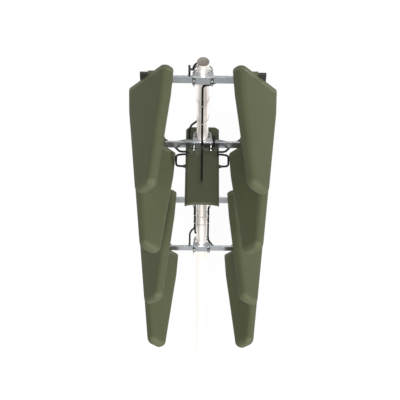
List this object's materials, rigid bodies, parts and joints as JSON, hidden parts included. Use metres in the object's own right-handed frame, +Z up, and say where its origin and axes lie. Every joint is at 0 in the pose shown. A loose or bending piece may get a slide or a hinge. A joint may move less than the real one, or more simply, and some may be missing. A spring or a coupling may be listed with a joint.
{
  "type": "log-periodic antenna array",
  "caption": "Mast-mounted antenna head: stacked crossbars carry pairs of tapered olive radomes, fed by coax cables from a flat combiner housing on the mast.",
  "frame": {"origin": "centre of the mast tube at its foot", "axes": "+Z runs up along the mast, the radomes point along -Y, and +X lies along the crossbars"},
  "size_m": [0.7256, 0.7985, 3.1006],
  "materials": {
    "mast_paint": "satin",
    "cap_plastic": "matte",
    "galvanised_steel": "semi-gloss, finely spangled",
    "cast_aluminium": "satin",
    "zinc_steel": "satin",
    "olive_shell": "semi-gloss",
    "olive_cover": "satin",
    "dark_casting": "satin",
    "connector_metal": "plated, satin",
    "element_board": "satin",
    "circuit_board": "satin",
    "natural_nylon": "satin",
    "cable_jacket": "satin"
  },
  "bodies": {
    "root": {"mast_tube": "mast_paint", "mast_cap": "cap_plastic", "crossbar_1": "galvanised_steel", "crossbar_2": "galvanised_steel", "crossbar_3": "galvanised_steel", "crossbar_4": "galvanised_steel", "saddle_1": "cast_aluminium", "saddle_2": "cast_aluminium", "saddle_3": "cast_aluminium", "saddle_4": "cast_aluminium", "u_bolts_1": "zinc_steel", "u_bolts_2": "zinc_steel", "u_bolts_3": "zinc_steel", "u_bolts_4": "zinc_steel", "clamp_plates": "galvanised_steel", "clamp_washers": "zinc_steel", "clamp_nuts": "zinc_steel", "radome_1_left": "olive_shell", "radome_1_right": "olive_shell", "radome_2_left": "olive_shell", "radome_2_right": "olive_shell", "radome_3_left": "olive_shell", "radome_3_right": "olive_shell", "radome_4_left": "olive_shell", "radome_4_right": "olive_shell", "rear_cover_1_left": "olive_cover", "rear_cover_1_right": "olive_cover", "rear_cover_2_left": "olive_cover", "rear_cover_2_right": "olive_cover", "rear_cover_3_left": "olive_cover", "rear_cover_3_right": "olive_cover", "rear_cover_4_left": "olive_cover", "rear_cover_4_right": "olive_cover", "elements_1_left": "element_board", "elements_1_right": "element_board", "elements_2_left": "element_board", "elements_2_right": "element_board", "elements_3_left": "element_board", "elements_3_right": "element_board", "elements_4_left": "element_board", "elements_4_right": "element_board", "fin_mounts": "olive_cover", "end_clamps": "dark_casting", "mount_screws": "zinc_steel", "radome_connectors": "connector_metal", "combiner_housing": "olive_shell", "combiner_cover": "olive_cover", "combiner_board": "circuit_board", "housing_hangers": "dark_casting", "cable_glands": "olive_cover", "cable_joints": "cable_jacket", "feeder_connector": "connector_metal", "cable_ties": "natural_nylon", "coax_level_1": "cable_jacket", "coax_level_2": "cable_jacket", "coax_level_3": "cable_jacket", "coax_level_4": "cable_jacket", "coax_loops": "cable_jacket", "coax_feeder": "cable_jacket"}
  },
  "joints": []
}
